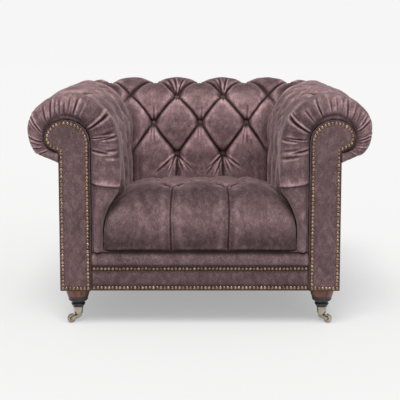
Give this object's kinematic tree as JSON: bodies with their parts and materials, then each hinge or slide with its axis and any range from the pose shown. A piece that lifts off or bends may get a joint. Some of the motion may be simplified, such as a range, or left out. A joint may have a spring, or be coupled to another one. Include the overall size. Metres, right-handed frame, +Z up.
{
  "type": "chesterfield armchair",
  "caption": "Low club armchair with rolled arms and back at one height, deep-buttoned velvet pads, nailed facings and turned feet on brass castors.",
  "frame": {"origin": "on the floor under the middle of the chair's overall box", "axes": "+Z up, the chair faces -Y, +X is the viewer's right when looking at its front"},
  "size_m": [1.08, 0.93, 0.745],
  "materials": {
    "velvet": "crushed velvet, mauve",
    "nail_brass": "antique, domed heads",
    "castor_brass": "polished, lightly aged",
    "foot_wood": "dark stain, satin lacquer",
    "dust_cloth": "black spun-bonded cloth",
    "deck_felt": "hessian and felt",
    "spring_steel": "drawn wire",
    "liner_board": "fibre board",
    "frame_wood": "planed beech"
  },
  "bodies": {
    "chair": {"arm_buttons_left": "velvet", "arm_buttons_right": "velvet", "arm_facing_left": "velvet", "arm_facing_right": "velvet", "arm_front_post_left": "frame_wood", "arm_front_post_right": "frame_wood", "arm_liners": "liner_board", "arm_ribs": "frame_wood", "arm_roll_rails": "frame_wood", "arm_top_rails": "frame_wood", "back_buttons": "velvet", "back_liner": "liner_board", "back_ribs": "frame_wood", "back_roll_rail": "frame_wood", "back_top_rail": "frame_wood", "border_nails_lower": "nail_brass", "border_nails_upper": "nail_brass", "castor_cups": "castor_brass", "corner_braces": "frame_wood", "cup_screws": "castor_brass", "dust_cover": "dust_cloth", "facing_nails_left": "nail_brass", "facing_nails_right": "nail_brass", "foot_blocks": "frame_wood", "foot_bolts": "spring_steel", "front_border_lower": "velvet", "front_border_upper": "velvet", "front_rail": "frame_wood", "inner_arm_pad_left": "velvet", "inner_arm_pad_right": "velvet", "inner_back_pad": "velvet", "outer_arm_cover_left": "velvet", "outer_arm_cover_right": "velvet", "outer_back_cover": "velvet", "rear_post_left": "frame_wood", "rear_post_right": "frame_wood", "rear_rail": "frame_wood", "seat_buttons": "velvet", "seat_deck": "deck_felt", "seat_pad": "velvet", "seat_springs": "spring_steel", "side_rail_left": "frame_wood", "side_rail_right": "frame_wood", "spring_clips": "spring_steel", "turned_feet": "foot_wood"},
    "castor_front_left": {"castor_fork_front_left": "castor_brass", "castor_axle_front_left": "castor_brass"},
    "wheel_front_left": {"castor_wheel_front_left": "castor_brass"},
    "castor_front_right": {"castor_fork_front_right": "castor_brass", "castor_axle_front_right": "castor_brass"},
    "wheel_front_right": {"castor_wheel_front_right": "castor_brass"},
    "castor_rear_left": {"castor_fork_rear_left": "castor_brass", "castor_axle_rear_left": "castor_brass"},
    "wheel_rear_left": {"castor_wheel_rear_left": "castor_brass"},
    "castor_rear_right": {"castor_fork_rear_right": "castor_brass", "castor_axle_rear_right": "castor_brass"},
    "wheel_rear_right": {"castor_wheel_rear_right": "castor_brass"}
  },
  "joints": [
    {"name": "swivel_front_left", "type": "hinge", "parent": "chair", "child": "castor_front_left", "pos_m": [-0.39325, -0.39, 0.02728], "axis": [0, 0, 1], "continuous": true},
    {"name": "roll_front_left", "type": "hinge", "parent": "castor_front_left", "child": "wheel_front_left", "pos_m": [-0.41287, -0.40706, 0.0145], "axis": [0.6561, -0.7547, 0], "continuous": true},
    {"name": "swivel_front_right", "type": "hinge", "parent": "chair", "child": "castor_front_right", "pos_m": [0.39325, -0.39, 0.02728], "axis": [0, 0, 1], "continuous": true},
    {"name": "roll_front_right", "type": "hinge", "parent": "castor_front_right", "child": "wheel_front_right", "pos_m": [0.41031, -0.40962, 0.0145], "axis": [0.7547, 0.6561, 0], "continuous": true},
    {"name": "swivel_rear_left", "type": "hinge", "parent": "chair", "child": "castor_rear_left", "pos_m": [-0.39325, 0.31825, 0.02728], "axis": [0, 0, 1], "continuous": true},
    {"name": "roll_rear_left", "type": "hinge", "parent": "castor_rear_left", "child": "wheel_rear_left", "pos_m": [-0.38351, 0.34236, 0.0145], "axis": [-0.9272, 0.3746, 0], "continuous": true},
    {"name": "swivel_rear_right", "type": "hinge", "parent": "chair", "child": "castor_rear_right", "pos_m": [0.39325, 0.31825, 0.02728], "axis": [0, 0, 1], "continuous": true},
    {"name": "roll_rear_right", "type": "hinge", "parent": "castor_rear_right", "child": "wheel_rear_right", "pos_m": [0.38226, 0.34181, 0.0145], "axis": [-0.9063, -0.4226, 0], "continuous": true}
  ]
}
